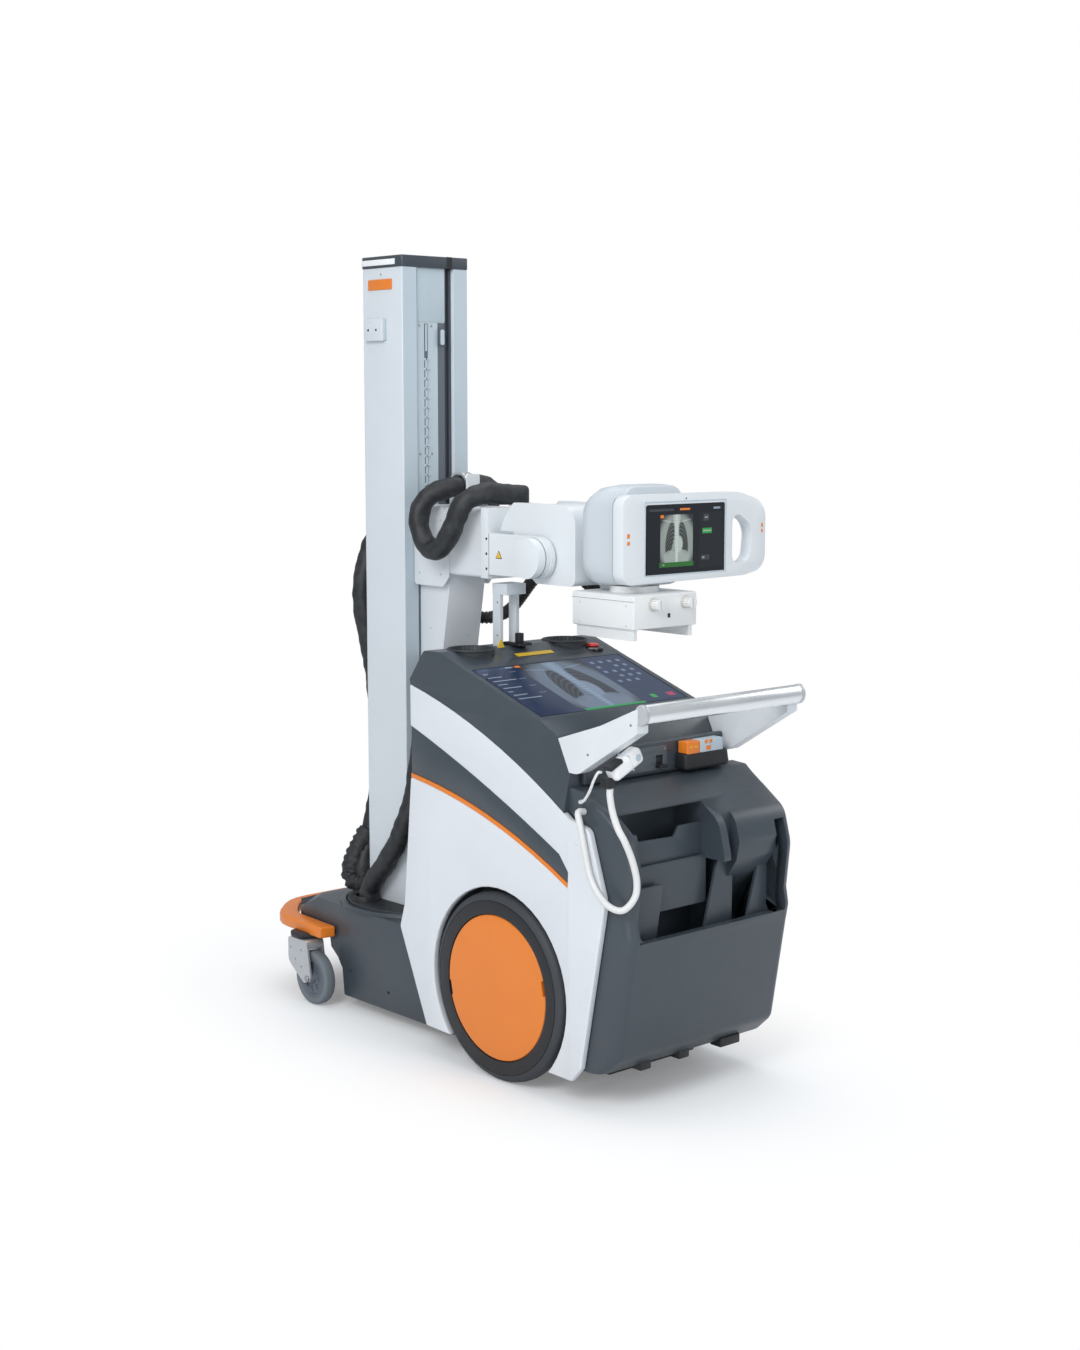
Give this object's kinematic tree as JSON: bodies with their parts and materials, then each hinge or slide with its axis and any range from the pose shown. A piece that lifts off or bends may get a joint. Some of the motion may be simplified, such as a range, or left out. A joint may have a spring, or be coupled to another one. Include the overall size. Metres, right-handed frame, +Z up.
{
  "type": "portable x-ray machine",
  "caption": "Motor-driven mobile x-ray unit: battery cabinet on wheels with a sloped console, swivel column, telescoping arm, tiltable tube head and collimator.",
  "frame": {"origin": "Floor point under the middle of the bounding box, cords left out.", "axes": "+X is the operator's right, +Y is the driving direction with the column at the front, +Z is up along the column."},
  "size_m": [0.6869, 1.614, 2.037],
  "materials": {
    "white": "satin white with a cool tint",
    "column_grey": "pale grey painted extrusion",
    "slate": "fine textured slate grey",
    "frame_black": "black powder coat",
    "black_plastic": "matt black",
    "cable": "matt black sleeve",
    "orange": "satin orange",
    "aluminium": "satin",
    "steel": "brushed",
    "screen": "dark cover glass",
    "tyre": "matt dark grey rubber",
    "red": "gloss red",
    "cord_white": "satin off-white sleeve"
  },
  "bodies": {
    "base": {"cabinet_core": "slate", "side_panel_left": "white", "side_panel_right": "white", "side_band_left": "slate", "side_band_right": "slate", "stripe_left": "orange", "stripe_right": "orange", "console_top": "slate", "console_screen": "screen", "stop_button": "red", "dock_post": "aluminium", "connector_panel": "slate", "detector_cradle": "black_plastic", "detector_pack": "orange", "document_bin": "slate", "handle_bar": "aluminium", "handle_bracket_left": "white", "handle_bracket_right": "white", "base_cover": "slate", "bumper": "orange", "caster_beam": "frame_black", "column_ring": "frame_black", "under_frame": "frame_black", "battery_block": "frame_black", "axle_left": "steel", "axle_right": "steel", "hand_switch": "white", "switch_holder": "black_plastic", "switch_cord": "cord_white", "switch_lead": "cord_white"},
    "rear_wheel_left": {"rear_tyre_left": "tyre", "rear_disc_left": "orange"},
    "rear_wheel_right": {"rear_tyre_right": "tyre", "rear_disc_right": "orange"},
    "caster_left": {"caster_fork_left": "aluminium"},
    "caster_right": {"caster_fork_right": "aluminium"},
    "caster_wheel_left": {"caster_tyre_left": "tyre", "caster_hub_left": "slate"},
    "caster_wheel_right": {"caster_tyre_right": "tyre", "caster_hub_right": "slate"},
    "column": {"turntable": "frame_black", "mast": "column_grey", "column_cap": "slate", "junction_box": "white", "chain_rail": "steel", "column_cable": "cable", "foot_cable": "cable"},
    "carriage": {"carriage": "white", "cable_strap": "white", "arm_cable": "cable", "arm_conduit": "cable"},
    "arm_middle": {"arm_middle": "column_grey"},
    "arm_end": {"arm_fork": "white"},
    "yoke": {"yoke": "white"},
    "head": {"tube_casing": "white", "head_bezel": "white", "head_display": "screen"},
    "collimator": {"collimator": "white"}
  },
  "joints": [
    {"name": "rear_wheel_left_spin", "type": "hinge", "parent": "base", "child": "rear_wheel_left", "pos_m": [-0.33575, -0.3165, 0.236], "axis": [1, 0, 0], "continuous": true},
    {"name": "rear_wheel_right_spin", "type": "hinge", "parent": "base", "child": "rear_wheel_right", "pos_m": [0.25325, -0.3165, 0.236], "axis": [1, 0, 0], "continuous": true},
    {"name": "caster_left_swivel", "type": "hinge", "parent": "base", "child": "caster_left", "pos_m": [-0.28425, 0.5605, 0.18], "axis": [0, 0, 1], "continuous": true},
    {"name": "caster_right_swivel", "type": "hinge", "parent": "base", "child": "caster_right", "pos_m": [0.20175, 0.5605, 0.18], "axis": [0, 0, 1], "continuous": true},
    {"name": "caster_left_spin", "type": "hinge", "parent": "caster_left", "child": "caster_wheel_left", "pos_m": [-0.28425, 0.5125, 0.075], "axis": [1, 0, 0], "continuous": true},
    {"name": "caster_right_spin", "type": "hinge", "parent": "caster_right", "child": "caster_wheel_right", "pos_m": [0.20175, 0.5125, 0.075], "axis": [1, 0, 0], "continuous": true},
    {"name": "column_swivel", "type": "hinge", "parent": "base", "child": "column", "pos_m": [-0.04125, 0.3535, 0.2853], "axis": [0, 0, 1], "range_deg": [-270, 270]},
    {"name": "carriage_lift", "type": "slide", "parent": "column", "child": "carriage", "axis": [0, 0, 1], "range_m": [0, 0.62]},
    {"name": "arm_extension", "type": "slide", "parent": "carriage", "child": "arm_end", "axis": [0, -1, 0], "range_m": [0, 0.46]},
    {"name": "arm_middle_follow", "type": "slide", "parent": "carriage", "child": "arm_middle", "axis": [0, -1, 0], "range_m": [0, 0.23]},
    {"name": "head_tilt", "type": "hinge", "parent": "arm_end", "child": "yoke", "pos_m": [-0.04125, -0.2585, 1.275], "axis": [1, 0, 0], "range_deg": [-90, 10]},
    {"name": "head_roll", "type": "hinge", "parent": "yoke", "child": "head", "pos_m": [-0.03675, -0.4015, 1.33], "axis": [0, 1, 0], "range_deg": [-90, 90]},
    {"name": "collimator_turn", "type": "hinge", "parent": "head", "child": "collimator", "pos_m": [-0.03675, -0.4885, 1.218], "axis": [0, 0, 1], "range_deg": [-90, 90]}
  ],
  "couplings": [
    {"joint": "arm_middle_follow", "follows": "arm_extension", "ratio": 0.5}
  ]
}
